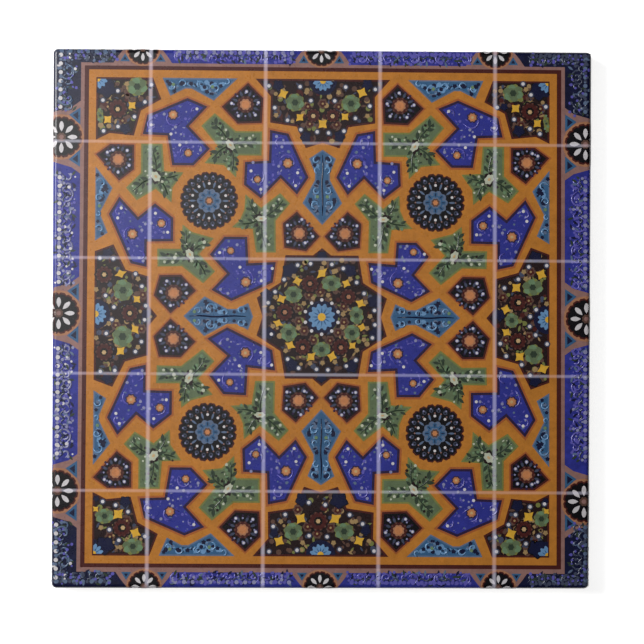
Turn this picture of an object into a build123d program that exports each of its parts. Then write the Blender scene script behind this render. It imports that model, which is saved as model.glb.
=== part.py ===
from build123d import *

import math
import os

# A square wall tile, dust-pressed and fired as one piece, lying face up.
# Sizes are in millimetres. The origin is the middle of the back, +Z goes out of the glazed face,
# +X is to the right and +Y to the top of the pattern, as the tile is looked at.

# Outline and thickness
tile_side = 108.0
tile_thickness = 6.0
corner_radius = 1.0

# Soft edge that the glaze rolls over, all round the face
face_edge_radius = 0.8

# The lower part of each side leans in towards the back, so that the tile leaves its die
skirt_height = 2.4
skirt_lean = 6.0  # degrees from upright
back_edge_bevel = 0.3
bevel_slope = 45.0  # degrees from upright

# Shallow square recesses pressed in the back, which key the tile to its adhesive
keys_per_side = 6  # even, so that two ribs cross at the middle of the back
key_depth = 0.6
key_corner_radius = 1.2
key_wall_slope = 35.0  # degrees from upright
rib_width = 2.6
back_rim_width = 4.5


def back_side():
    """Side of the square back, inside the lean of the skirt and the bevel."""
    lean = (skirt_height - back_edge_bevel) * math.tan(math.radians(skirt_lean))
    bevel = back_edge_bevel * math.tan(math.radians(bevel_slope))
    return tile_side - 2 * (lean + bevel)


def key_side():
    """Side of one recess at the back face: the room inside the rim, less the ribs, in equal shares."""
    room = back_side() - 2 * back_rim_width - (keys_per_side - 1) * rib_width
    return room / keys_per_side


def blank():
    """The pressed body: an upright band over a skirt that narrows to the bevelled back edge."""
    outline = Plane.XY.offset(skirt_height) * RectangleRounded(tile_side, tile_side, corner_radius)
    band = extrude(outline, tile_thickness - skirt_height)
    skirt = extrude(outline, back_edge_bevel - skirt_height, taper=skirt_lean)
    bevel = extrude(skirt.faces().sort_by(Axis.Z)[0], back_edge_bevel, taper=bevel_slope)
    body = band + skirt + bevel
    return fillet(body.faces().sort_by(Axis.Z)[-1].edges(), face_edge_radius)


def key():
    """One recess, widest at the back face, with sloping walls."""
    mouth = RectangleRounded(key_side(), key_side(), key_corner_radius)
    return extrude(mouth, key_depth, taper=key_wall_slope)


def keyed_back(body):
    """Cuts the grid of recesses, and leaves the ribs between them and the rim round them."""
    pitch = key_side() + rib_width
    recess = key()
    return body - [place * recess for place in GridLocations(pitch, pitch, keys_per_side, keys_per_side)]


tile = keyed_back(blank())
tile.label = "tile"

os.makedirs("parts", exist_ok=True)
export_step(tile, "parts/tile.step")
print("tile:", round(tile.volume / 1000, 2), "cm3, recesses", round(key_side(), 2), "mm square")
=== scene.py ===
import itertools
import math
import random

import bpy
from mathutils import Matrix, Vector


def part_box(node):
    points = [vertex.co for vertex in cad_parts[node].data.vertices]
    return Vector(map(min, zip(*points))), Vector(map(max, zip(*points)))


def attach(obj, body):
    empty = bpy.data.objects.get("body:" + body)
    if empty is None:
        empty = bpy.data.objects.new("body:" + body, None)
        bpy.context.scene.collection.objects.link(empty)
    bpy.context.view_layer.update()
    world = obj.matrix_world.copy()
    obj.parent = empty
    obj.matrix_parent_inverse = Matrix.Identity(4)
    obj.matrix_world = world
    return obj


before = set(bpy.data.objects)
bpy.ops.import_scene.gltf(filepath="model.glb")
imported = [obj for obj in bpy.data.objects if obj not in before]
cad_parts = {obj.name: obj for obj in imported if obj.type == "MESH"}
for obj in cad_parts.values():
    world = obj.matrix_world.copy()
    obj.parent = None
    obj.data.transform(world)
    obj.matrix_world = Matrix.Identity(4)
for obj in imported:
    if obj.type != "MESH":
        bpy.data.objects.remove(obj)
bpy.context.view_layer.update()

# A square glazed wall tile, lying face up, with a Persian strapwork pattern printed on its face.
# The pattern is drawn in millimetres from its own middle, u to the right and v to the top. Its four
# quarters mirror each other, so most shapes are given once, for the quarter where u and v are positive.

MM = 0.001
tile_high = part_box("tile")[1]
HALF_SIDE = tile_high.x / MM
FACE_HEIGHT = tile_high.z / MM
EDGE_RADIUS = 0.8  # the soft edge round the face, as the tile is pressed
SKIRT_HEIGHT = 2.4  # below this the sides lean in

# How the printed transfer lies on the tile: a little off the middle, and not quite square to it
PRINT_U, PRINT_V = -0.076, 0.526
PRINT_SIZE = 0.9982
BOW_U, BOW_V = 0.00006, -0.00009
KEYSTONE = -0.00011
LEAN, SKEW = 0.0007, -0.0033

# Each colour is a thin film, and each level of the print lies one step above the one before
FILM_STEP = 0.012
FILM_THICKNESS = 0.008
STAMP_STEP = 0.00025  # shapes of one level lie this much apart, in turn, so that no two share a plane
STAMP_TURNS = 41
FILM_MARGIN = 0.02  # a film ends this far inside the upright sides
EDGE_BENDS = (0, 20, 40, 60, 75)  # degrees round the soft edge at which a film is cut, so that it can bend
EDGE_END = 0.999  # the share of the soft edge's radius that a film goes out to
GROUND, BORDER, FRAME, STRAP, HALO, EDGE, PANEL, SCROLL, LEAF, FLOWER, DOT, HEART, PIP = range(1, 14)

# Half widths and half heights of the frame, from the outside: the pale band, the dark line and the straps.
# The band is narrower at the top.
BAND_U, BAND_TOP, BAND_BOTTOM = 48.85, 50.9, 51.2
LINE_U, LINE_V = 48.11, 50.29
STRAP_U, STRAP_V = 47.23, 49.5

# The print imitates a panel of smaller tiles, with pale joints between them
JOINTS_U = (11.55, 34.76)
JOINTS_V = (11.6, 35.0)
JOINT_WIDTH_U, JOINT_WIDTH_V = 0.70, 0.55
JOINT_SHARE_U, JOINT_SHARE_V = 0.45, 0.33
JOINT_FADE = 1.5  # a joint fades out at this many times half its width

# The quarters that a shape is pressed in, as signs of u and v
QUARTERS = ((1, 1), (-1, 1), (-1, -1), (1, -1))
ONCE = ((1, 1),)
TOP = LEFT_RIGHT = ((1, 1), (-1, 1))
RIGHT = TOP_BOTTOM = ((1, 1), (1, -1))
LEFT = ((-1, 1), (-1, -1))
BOTTOM = ((-1, -1), (1, -1))


def laid(u, v):
    """Where a point of the print comes to lie on the tile, in millimetres from the tile's middle."""
    x = PRINT_U + PRINT_SIZE * u + BOW_U * u * u + KEYSTONE * u * v + LEAN * v
    y = PRINT_V + PRINT_SIZE * v + BOW_V * v * v + SKEW * u
    return x, y


def polar(u, v, reach, angle):
    """The point at a distance and an angle in degrees from (u, v)."""
    a = math.radians(angle)
    return u + reach * math.cos(a), v + reach * math.sin(a)


# Colours


def light_of(red, green, blue):
    """The light that a colour returns, from its sRGB value of 0 to 255 as it is read on a chart."""
    parts = (red / 255, green / 255, blue / 255)
    return tuple(p / 12.92 if p <= 0.04045 else ((p + 0.055) / 1.055) ** 2.4 for p in parts)


GLAZES = {
    "orange": (176, 113, 42),
    "rust": (154, 86, 42),
    "tan": (158, 110, 80),
    "salmon": (186, 122, 78),
    "sand": (186, 156, 112),
    "mauve": (136, 102, 96),
    "maroon": (68, 25, 22),
    "purple": (40, 24, 56),
    "navy": (14, 18, 50),
    "black": (7, 5, 10),
    "cobalt": (42, 47, 132),
    "violet": (88, 84, 164),
    "lilac": (132, 132, 166),
    "pale_blue": (98, 136, 174),
    "turquoise": (50, 88, 124),
    "steel": (88, 104, 130),
    "green": (89, 104, 75),
    "moss": (112, 116, 62),
    "deep_green": (45, 58, 44),
    "leaf_green": (100, 126, 94),
    "brown": (88, 64, 54),
    "umber": (30, 14, 16),
    "slate": (62, 68, 88),
    "bud": (150, 124, 84),
    "yellow": (206, 160, 52),
    "white": (200, 196, 198),
    "cream": (176, 180, 160),
}
JOINT = (236, 233, 250)
GLAZE_WHITE = ((226, 222, 214), (236, 233, 227))
BISCUIT = ((206, 190, 168), (226, 212, 192))

# A pale joint takes up the hue under it by the first share, and by more where that is warm
JOINT_TINT, JOINT_WARMTH = 0.3, 0.42
HUE_FLOOR = 0.05  # keeps the hue of a dark colour mild

ROUGHNESS, ROUGHNESS_SPREAD = 0.26, 0.05
COAT, COAT_ROUGHNESS = 0.15, 0.22
GLAZE_INDEX = 1.5
SWELL_DEPTH = 0.05
SWELL_STRENGTH = 0.04
CLOUD_CONTRAST = 2.2

# Layers of cloud: size in millimetres, detail, shift and share
SWELL = ((2.6, 1.0, 0.0, 0.8), (0.7, 1.0, 0.3, 0.2))
MOTTLE = ((1.1, 3.0, 0.0, 0.55), (0.32, 1.0, 0.2, 0.25), (9.0, 1.0, 0.7, 0.2))
MOTTLE_DEPTH = 0.22  # how much a printed colour goes darker and paler


# Shader recipes


class Value:
    """A number that changes over the surface. Arithmetic on it adds Math nodes to its tree."""

    def __init__(self, nodes, socket):
        self.nodes = nodes
        self.socket = socket

    def math(self, operation, *others):
        return self.nodes.value("Math", {"operation": operation}, dict(enumerate((self, *others))))

    def clamped(self):
        return self.nodes.value("Clamp", {}, {0: self, 1: 0.0, 2: 1.0})

    def __add__(self, other):
        return self.math("ADD", other)

    def __sub__(self, other):
        return self.math("SUBTRACT", other)

    def __rsub__(self, other):
        return self.nodes.value("Math", {"operation": "SUBTRACT"}, {0: other, 1: self})

    def __mul__(self, other):
        return self.math("MULTIPLY", other)

    def __truediv__(self, other):
        return self.math("DIVIDE", other)

    def __abs__(self):
        return self.math("ABSOLUTE")

    __radd__ = __add__
    __rmul__ = __mul__


class Nodes:
    """A node tree, emptied, and the one way in which nodes are added to it."""

    def __init__(self, tree):
        self.tree = tree
        tree.nodes.clear()

    def node(self, kind, settings, sockets):
        """Adds a node: its settings first, then the values or links of its sockets."""
        node = self.tree.nodes.new("ShaderNode" + kind)
        for name, setting in settings.items():
            setattr(node, name, setting)
        for socket, value in sockets.items():
            if isinstance(value, Value):
                self.tree.links.new(value.socket, node.inputs[socket])
            else:
                node.inputs[socket].default_value = value
        return node

    def value(self, kind, settings, sockets, output=0):
        return Value(self, self.node(kind, settings, sockets).outputs[output])


class Recipe(Nodes):
    """A glaze's nodes, with places on the tile and on the print ready to use, in millimetres."""

    def __init__(self, name):
        self.material = bpy.data.materials.new(name)
        self.material.use_nodes = True
        super().__init__(self.material.node_tree)
        self.place = self.value("TexCoord", {}, {}, "Object")
        parts = self.node("SeparateXYZ", {}, {0: self.place})
        self.x, self.y, self.z = (Value(self, parts.outputs[k]) / MM for k in range(3))
        bowed_u = BOW_U * self.x * self.x + KEYSTONE * self.x * self.y + LEAN * self.y
        bowed_v = BOW_V * self.y * self.y + SKEW * self.x
        self.u = (self.x - PRINT_U - bowed_u) / PRINT_SIZE
        self.v = (self.y - PRINT_V - bowed_v) / PRINT_SIZE

    def noise(self, size, detail=2.0, shift=0.0):
        """Clouds of about the given size in millimetres, spread between 0 and 1."""
        place = self.value("VectorMath", {"operation": "ADD"}, {0: self.place, 1: (shift, shift, 0.0)})
        settings = {"Vector": place, "Scale": 1 / (size * MM), "Detail": detail}
        cloud = self.value("TexNoise", {}, settings)
        return ((cloud - 0.5) * CLOUD_CONTRAST + 0.5).clamped()

    def clouds(self, layers):
        """Noise of several sizes, each added by its share."""
        first, *others = [self.noise(size, detail, shift) * share for size, detail, shift, share in layers]
        return sum(others, first)

    def mixed(self, share, first, second):
        """Two colours, mixed by a share of the second."""
        sockets = {0: share, 6: opaque(first), 7: opaque(second)}
        return self.value("Mix", {"data_type": "RGBA", "clamp_factor": True}, sockets, 2)

    def line(self, distance, width):
        """1 in the middle of a line and 0 beside it, with soft edges."""
        return (JOINT_FADE - abs(distance) / (width / 2)).clamped()

    def joints(self):
        """The pale printed joints, as a share from 0 to 1."""
        upright = [self.line(abs(self.u) - place, JOINT_WIDTH_U) * JOINT_SHARE_U for place in JOINTS_U]
        level = [self.line(abs(self.v) - place, JOINT_WIDTH_V) * JOINT_SHARE_V for place in JOINTS_V]
        share, *others = upright + level
        for other in others:
            share = share.math("MAXIMUM", other)
        return share

    def glazed(self, colour):
        """The fired surface: a clear gloss over the colour, with the slight swell of a poured glaze."""
        swell = {"Strength": SWELL_STRENGTH, "Distance": SWELL_DEPTH * MM, "Height": self.clouds(SWELL)}
        skin = {
            "Base Color": colour,
            "Roughness": ROUGHNESS + self.noise(1.2) * ROUGHNESS_SPREAD,
            "IOR": GLAZE_INDEX,
            "Coat Weight": COAT,
            "Coat Roughness": COAT_ROUGHNESS,
            "Coat IOR": GLAZE_INDEX,
            "Normal": self.value("Bump", {}, swell),
        }
        self.node("OutputMaterial", {}, {"Surface": self.value("BsdfPrincipled", {}, skin)})
        return self.material


def opaque(colour):
    """A colour as a socket takes it: a plain one gets its fourth number."""
    return colour if isinstance(colour, Value) else (*colour, 1.0)


def shaded(colour, strength):
    """A lighter or darker shade of a colour."""
    return tuple(part * strength for part in colour)


def joint_over(colour):
    """The pale joints take on some of the colour that they cross, and a warm one shows more."""
    strongest = max(colour) + HUE_FLOOR
    hue = [(part + HUE_FLOOR) / strongest for part in colour]
    share = JOINT_TINT + JOINT_WARMTH * max(0.0, hue[0] - hue[2])
    return tuple(j * (1 - share + share * h) for j, h in zip(light_of(*JOINT), hue))


def printed(glaze):
    """A printed colour under glaze: mottled as a screen leaves it, and crossed by the pale joints."""
    recipe = Recipe("glaze_" + glaze)
    colour = light_of(*GLAZES[glaze])
    shades = (shaded(colour, 1 - MOTTLE_DEPTH), shaded(colour, 1 + MOTTLE_DEPTH))
    body = recipe.mixed(recipe.clouds(MOTTLE), *shades)
    return recipe.glazed(recipe.mixed(recipe.joints(), body, joint_over(colour)))


# Dies: small shapes that are modelled once and pressed many times


SHOULDER_FULLNESS = 0.06  # how much a petal's shoulders stand out past a straight line to its notches


def ring(corners):
    """A filled round of one millimetre radius, lying flat."""
    bpy.ops.object.select_all(action="DESELECT")
    bpy.ops.mesh.primitive_circle_add(vertices=corners, radius=MM, fill_type="NGON")
    return bpy.context.object


def pull(piece, corners, scale):
    """Scales the numbered corners of a flat shape about its middle."""
    bpy.ops.object.mode_set(mode="EDIT")
    bpy.ops.mesh.select_mode(type="VERT")
    bpy.ops.mesh.select_all(action="DESELECT")
    bpy.ops.object.mode_set(mode="OBJECT")
    for corner in corners:
        piece.data.vertices[corner].select = True
    bpy.ops.object.mode_set(mode="EDIT")
    bpy.ops.transform.resize(value=scale, center_override=(0, 0, 0))
    bpy.ops.object.mode_set(mode="OBJECT")


def kept(piece):
    """Takes a finished die out of the scene and keeps its mesh."""
    die = piece.data
    bpy.data.objects.remove(piece)
    return die


def round_die(corners):
    return kept(ring(corners))


def scalloped_die(lobes, notch):
    """A round with petals: the notches between them are pulled in."""
    piece = ring(lobes * 4)
    shoulder = (1 + 3 * notch) / 4 + SHOULDER_FULLNESS
    pull(piece, range(0, lobes * 4, 4), (notch, notch, 1))
    pull(piece, range(1, lobes * 4, 2), (shoulder, shoulder, 1))
    return kept(piece)


def leaf_die():
    """A leaf one millimetre to each side of its middle, pointed at both ends."""
    piece = ring(12)
    pull(piece, range(12), (0.42, 1, 1))
    pull(piece, (0, 6), (1, 1.25, 1))
    pull(piece, (1, 5, 7, 11), (0.8, 1, 1))
    return kept(piece)


def petal_die():
    """A petal one millimetre to each side of its middle, round outside and narrow at its root."""
    piece = ring(12)
    pull(piece, range(12), (0.36, 1, 1))
    pull(piece, (5, 6, 7), (0.35, 1, 1))
    pull(piece, (4, 8), (0.75, 1, 1))
    return kept(piece)


def star_die(points, notch):
    """A star with short blunt points."""
    piece = ring(points * 2)
    pull(piece, range(1, points * 2, 2), (notch, notch, 1))
    return kept(piece)


DIES = {
    "dot": round_die(8),
    "round": round_die(20),
    "five": scalloped_die(5, 0.72),
    "six": scalloped_die(6, 0.78),
    "eight": scalloped_die(8, 0.82),
    "ten": scalloped_die(10, 0.86),
    "sixteen": scalloped_die(16, 0.93),
    "twenty": scalloped_die(20, 0.93),
    "four": star_die(4, 0.55),
    "leaf": leaf_die(),
    "petal": petal_die(),
}


# Films: all that one colour prints


SCROLL_STEP = 40  # degrees between the points of a spiral
stamps = itertools.cycle(range(STAMP_TURNS))


def stamp_height(level):
    """The height in metres for the next shape of a level."""
    return (level * FILM_STEP + next(stamps) * STAMP_STEP) * MM


class Film:
    """All that one colour prints: flat shapes pressed at their levels, joined, and laid on the tile."""

    def __init__(self, glaze):
        self.glaze = glaze
        self.shapes = []
        self.strokes = None

    def press(self, level, die, u, v, size, turn=0.0, stretch=1.0, ways=QUARTERS, about=None):
        """Presses a die at (u, v): size is its radius, stretch widens it, and turn is in degrees.

        It is pressed in each of the ways, or in half of them if what it goes about lies on a middle line.
        """
        shape = Matrix.Diagonal((size * stretch, size, 1, 1))
        lift = Matrix.Translation((u * MM, v * MM, stamp_height(level)))
        place = lift @ Matrix.Rotation(math.radians(turn), 4, "Z") @ shape
        middle_u, middle_v = about or (u, v)
        for along, up in ways:
            if (along < 0 and middle_u == 0) or (up < 0 and middle_v == 0):
                continue
            mesh = DIES[die].copy()
            mesh.transform(Matrix.Diagonal((along, up, 1, 1)) @ place)
            self.shapes.append(mesh)

    def circle_of(self, level, die, u, v, count, reach, size, turn=0.0, stretch=1.0, ways=QUARTERS):
        """Presses a die round a circle, each one facing out from its middle."""
        for k in range(count):
            angle = turn + 360 * k / count
            self.press(level, die, *polar(u, v, reach, angle), size, angle - 90, stretch, ways, (u, v))

    def outline(self, level, points, ways=QUARTERS):
        """A filled outline: a ring with as many corners as it has, each moved to its place."""
        height = stamp_height(level)
        piece = ring(len(points))
        for vertex, (u, v) in zip(piece.data.vertices, anticlockwise(points)):
            vertex.co = (u * MM, v * MM, height)
        mesh = kept(piece)
        for along, up in ways:
            copy = mesh.copy()
            copy.transform(Matrix.Diagonal((along, up, 1, 1)))
            self.shapes.append(copy)

    def stroke(self, level, points, width, ways=QUARTERS, taper=0.4):
        """A brush stroke along the given points, thin at both ends."""
        if self.strokes is None:
            curve = bpy.data.curves.new("strokes_" + self.glaze, "CURVE")
            curve.dimensions = "3D"
            curve.resolution_u = 2
            curve.extrude = MM / 2
            self.strokes = bpy.data.objects.new(curve.name, curve)
            bpy.context.scene.collection.objects.link(self.strokes)
        height = stamp_height(level)
        last = len(points) - 1
        for along, up in ways:
            spline = self.strokes.data.splines.new("NURBS")
            spline.points.add(last)
            for k, (u, v) in enumerate(points):
                point = spline.points[k]
                point.co = (u * along * MM, v * up * MM, height, 1)
                point.tilt = math.pi / 2
                point.radius = width * (taper if k in (0, last) else 1)
            spline.order_u = min(3, len(points))
            spline.use_endpoint_u = True

    def scroll(self, level, u, v, radius, start, sweep, width, ways=QUARTERS, close=0.45):
        """A spiral stroke: it starts on a circle about (u, v) and draws in as it sweeps round."""
        steps = max(4, round(abs(sweep) / SCROLL_STEP))
        shares = [k / steps for k in range(steps + 1)]
        points = [polar(u, v, radius * (1 - (1 - close) * s), start + sweep * s) for s in shares]
        self.stroke(level, points, width, ways)

    def lay(self):
        """Joins the shapes, lays them on the tile and gives them the thickness of a film."""
        bpy.ops.object.select_all(action="DESELECT")
        for shape in self.shapes:
            part = bpy.data.objects.new(self.glaze, shape)
            bpy.context.scene.collection.objects.link(part)
            part.select_set(True)
            bpy.context.view_layer.objects.active = part
        if self.strokes is not None:
            self.strokes.select_set(True)
            bpy.context.view_layer.objects.active = self.strokes
            bpy.ops.object.convert(target="MESH")
        if len(bpy.context.selected_objects) > 1:
            bpy.ops.object.join()
        piece = bpy.context.object
        piece.name = piece.data.name = "print_" + self.glaze
        for vertex in piece.data.vertices:
            x, y = laid(vertex.co.x / MM, vertex.co.y / MM)
            vertex.co = (x * MM, y * MM, vertex.co.z)
        face_up(piece)
        trim(piece)
        thickness = piece.modifiers.new("film", "SOLIDIFY")
        thickness.thickness = FILM_THICKNESS * MM
        thickness.offset = -1.0
        bpy.ops.object.modifier_apply(modifier=thickness.name)
        for vertex in piece.data.vertices:
            vertex.co = on_tile(*(vertex.co / MM))
        piece.data.materials.clear()
        piece.data.materials.append(printed(self.glaze))
        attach(piece, "root")


def anticlockwise(points):
    twice_area = sum(p[0] * q[1] - q[0] * p[1] for p, q in zip(points, points[1:] + points[:1]))
    return points[::-1] if twice_area < 0 else points


def face_up(piece):
    """Turns the faces that look down, as a mirrored copy's do."""
    for polygon in piece.data.polygons:
        polygon.select = polygon.normal.z < 0
    bpy.ops.object.mode_set(mode="EDIT")
    bpy.ops.mesh.select_mode(type="FACE")
    bpy.ops.mesh.flip_normals()
    bpy.ops.object.mode_set(mode="OBJECT")


def trim(piece):
    """Cuts off what reaches past the tile, and cuts the rest along lines where the soft edge bends."""
    reach = max(max(abs(vertex.co.x), abs(vertex.co.y)) for vertex in piece.data.vertices)
    if reach < (HALF_SIDE - EDGE_RADIUS) * MM:
        return
    limit = HALF_SIDE - FILM_MARGIN
    bends = [HALF_SIDE - EDGE_RADIUS * (1 - math.sin(math.radians(a))) for a in EDGE_BENDS]
    bpy.ops.object.mode_set(mode="EDIT")
    for side in (Vector((1, 0, 0)), Vector((-1, 0, 0)), Vector((0, 1, 0)), Vector((0, -1, 0))):
        bpy.ops.mesh.select_all(action="SELECT")
        bpy.ops.mesh.bisect(plane_co=side * limit * MM, plane_no=side, clear_outer=True)
        for bend in bends:
            bpy.ops.mesh.select_all(action="SELECT")
            bpy.ops.mesh.bisect(plane_co=side * bend * MM, plane_no=side)
    bpy.ops.object.mode_set(mode="OBJECT")


def on_tile(x, y, height):
    """A point over the face, in metres: past the flat it follows the soft edge down."""
    flat = HALF_SIDE - EDGE_RADIUS
    over_x = min(max(abs(x) - flat, 0), EDGE_RADIUS)
    over_y = min(max(abs(y) - flat, 0), EDGE_RADIUS)
    over = min(math.hypot(over_x, over_y), EDGE_RADIUS * EDGE_END)
    if over == 0:
        return Vector((x, y, FACE_HEIGHT + height)) * MM
    bend = math.asin(over / EDGE_RADIUS)
    out = Vector((math.copysign(over_x, x), math.copysign(over_y, y), 0)).normalized()
    centre = Vector((math.copysign(min(abs(x), flat), x), math.copysign(min(abs(y), flat), y), 0))
    reach = EDGE_RADIUS + height
    point = centre + out * reach * math.sin(bend)
    point.z = FACE_HEIGHT - EDGE_RADIUS + reach * math.cos(bend)
    return point * MM


ink = {glaze: Film(glaze) for glaze in GLAZES}


# Outlines of the panels between the straps


COBALT_PANELS = (
    (
        (40.9, 23.9), (43.0, 20.4), (38.5, 10.5), (35.3, 9.8), (35.3, 14.9), (30.0, 15.0), (30.0, 19.7),
        (33.7, 22.6), (37.1, 19.8),
    ),
    (
        (10.6, 37.6), (6.9, 36.9), (2.8, 28.1), (5.1, 24.6), (8.4, 27.9), (12.4, 23.8), (15.8, 26.5),
        (15.6, 31.1), (10.8, 31.4),
    ),
    (
        (23.3, 42.2), (27.3, 43.9), (35.4, 40.4), (36.3, 36.5), (31.3, 36.3), (30.3, 30.3), (26.0, 30.3),
        (22.7, 33.7), (27.0, 38.2),
    ),
)
COBALT_INNER = (
    # the cobalt panel nearest the middle, which is not the same in all quarters
    (((-1, 1), (1, -1)), (
        (15.1, 16.0), (19.7, 16.0), (22.6, 12.4), (19.1, 8.6), (22.2, 5.3), (18.2, 3.1), (9.9, 6.9),
        (9.3, 11.0), (14.8, 10.7),
    )),
    (((1, 1),), (
        (15.0, 15.1), (19.0, 15.1), (21.5, 12.3), (18.6, 8.6), (21.8, 5.3), (18.0, 3.1), (9.9, 6.9),
        (9.3, 11.0), (14.7, 10.6),
    )),
    (((-1, -1),), (
        (15.1, 15.8), (19.7, 15.6), (22.6, 11.8), (18.9, 7.9), (23.0, 4.5), (19.0, 2.2), (9.9, 6.7),
        (9.3, 10.8), (14.8, 10.2),
    )),
)
GREEN_PANELS = (
    (
        (9.3, 12.9), (9.4, 19.3), (6.5, 22.8), (8.5, 24.9), (12.3, 21.9), (15.5, 24.6), (15.7, 21.5),
        (16.6, 19.4), (18.2, 17.9), (14.0, 17.6), (13.3, 12.9),
    ),
    (
        (21.8, 15.7), (24.7, 12.5), (21.5, 9.0), (23.9, 6.6), (28.2, 10.0), (33.1, 9.9), (33.2, 13.5),
        (28.5, 13.5), (28.1, 18.4), (26.2, 16.9),
    ),
    (
        (12.2, 37.3), (17.5, 37.3), (21.8, 40.9), (24.5, 38.3), (21.0, 34.1), (23.8, 30.8), (19.9, 30.4),
        (17.4, 27.9), (17.2, 32.4), (12.3, 32.4),
    ),
    (
        (32.3, 34.6), (36.6, 34.6), (36.6, 28.7), (39.6, 25.7), (37.4, 23.2), (33.6, 25.5), (30.4, 22.8),
        (30.2, 25.8), (28.0, 28.9), (31.9, 29.1),
    ),
)
KITES = (
    ((5.1, 21.2), (7.9, 18.8), (7.6, 13.9), (3.2, 13.2), (0.5, 16.2)),
    ((25.3, 5.1), (28.3, 8.3), (32.7, 8.2), (33.8, 4.1), (30.4, 0.5)),
    ((15.1, 47.1), (20.4, 42.2), (17.2, 38.8), (12.3, 39.0), (12.0, 44.0)),
    ((38.0, 34.4), (42.8, 34.5), (45.7, 32.4), (41.0, 27.1), (38.0, 29.4)),
)
TURQUOISE_UPRIGHT = ((0, 33.7), (2.7, 31.9), (1.5, 28.9), (1.5, 27.6), (4.0, 22.9), (0, 18.5))
TURQUOISE_LEVEL = ((27.8, 0), (23.6, 4.0), (19.0, 1.5), (17.2, 1.5), (14.8, 2.7), (13.8, 0))
TURQUOISE_SIDE = ((45.75, 29.9), (42.3, 25.6), (44.7, 20.8), (44.6, 20.0), (43.2, 16.6), (45.75, 15.0))
TURQUOISE_TOP = ((17.2, 47.95), (22.0, 43.4), (26.5, 45.8), (27.8, 45.8), (30.8, 44.3), (32.4, 47.95))
MEDALLION_QUARTER = ((11.9, 0), (13.1, 3.8), (8.3, 6.9), (7.35, 12.4), (1.8, 12.4), (0, 13.9))
TOP_HALF = ((0, 35.1), (3.4, 34.0), (5.2, 38.3), (10.6, 39.1), (10.5, 44.4), (13.6, 47.95), (0, 47.95))
SIDE_HALF = ((45.75, 0), (45.75, 12.9), (42.0, 14.3), (39.5, 9.2), (34.9, 7.9), (34.8, 2.0), (33.1, 0))
CORNER_PANEL = (
    (34.3, 47.95), (32.6, 43.6), (36.7, 41.3), (38.1, 36.2), (43.0, 36.7), (45.75, 35.3), (45.75, 47.95),
)


def across_u(half):
    """A whole outline from the half on the right, whose ends lie on the upright middle line."""
    return tuple(half) + tuple((-u, v) for u, v in reversed(half) if u > 0)


def across_v(half):
    """A whole outline from the half on top, whose ends lie on the level middle line."""
    return tuple(half) + tuple((u, -v) for u, v in reversed(half) if v > 0)


def rectangle(half_u, top, bottom):
    """A rectangle that reaches equally far to both sides of the middle, and its own way up and down."""
    return ((half_u, top), (-half_u, top), (-half_u, -bottom), (half_u, -bottom))


SHARPEST = 0.35  # keeps the inset of a very sharp corner from running off


def inset(outline, distance):
    """An outline drawn in by a distance: each side moves by it, and the corners stay sharp."""
    points = anticlockwise(list(outline))
    moved = []
    for before, here, after in zip(points[-1:] + points, points, points[1:] + points[:1]):
        coming = Vector((here[0] - before[0], here[1] - before[1])).normalized()
        going = Vector((after[0] - here[0], after[1] - here[1])).normalized()
        inward = Vector((-coming.y, coming.x))
        middle = (inward + Vector((-going.y, going.x))).normalized()
        length = distance / max(SHARPEST, middle.dot(inward))
        moved.append((here[0] + middle.x * length, here[1] + middle.y * length))
    return moved


def inside(outline, u, v, margin=0.75):
    """Whether a point lies inside an outline, and a margin away from its sides."""
    within = False
    for (u0, v0), (u1, v1) in zip(outline, outline[1:] + outline[:1]):
        if (v0 > v) != (v1 > v) and u < u0 + (v - v0) * (u1 - u0) / (v1 - v0):
            within = not within
        length = math.hypot(u1 - u0, v1 - v0)
        along = min(max(((u - u0) * (u1 - u0) + (v - v0) * (v1 - v0)) / length ** 2, 0), 1)
        if math.hypot(u - u0 - along * (u1 - u0), v - v0 - along * (v1 - v0)) < margin:
            return False
    return within


def strew(outline, glazes, count, sizes, seed, ways=QUARTERS):
    """Small leaves and dots strewn at random inside an outline."""
    chance = random.Random(seed)
    low_u, high_u = min(u for u, v in outline), max(u for u, v in outline)
    low_v, high_v = min(v for u, v in outline), max(v for u, v in outline)
    for _ in range(count):
        place = (chance.uniform(low_u, high_u), chance.uniform(low_v, high_v))
        size = chance.uniform(*sizes)
        turn = chance.uniform(0, 360)
        die = chance.choice(("leaf", "dot"))
        glaze = chance.choice(glazes)
        if inside(outline, *place):
            ink[glaze].press(SCROLL, die, *place, size, turn, ways=ways)


def frame_and_straps():
    """The three rectangles of the frame, each over the one before."""
    ink["mauve"].outline(BORDER, rectangle(BAND_U, BAND_TOP, BAND_BOTTOM), ONCE)
    ink["maroon"].outline(FRAME, rectangle(LINE_U, LINE_V, LINE_V), ONCE)
    ink["orange"].outline(STRAP, rectangle(STRAP_U, STRAP_V, STRAP_V), ONCE)


def panel(outline, edge, fill, edge_width, ways=QUARTERS, halo=0.0):
    """A filled panel with a dark edge, and a rusty halo on the strap round it."""
    if halo:
        ink["rust"].outline(HALO, inset(outline, -halo), ways)
    ink[edge].outline(EDGE, outline, ways)
    ink[fill].outline(PANEL, inset(outline, edge_width), ways)


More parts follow.
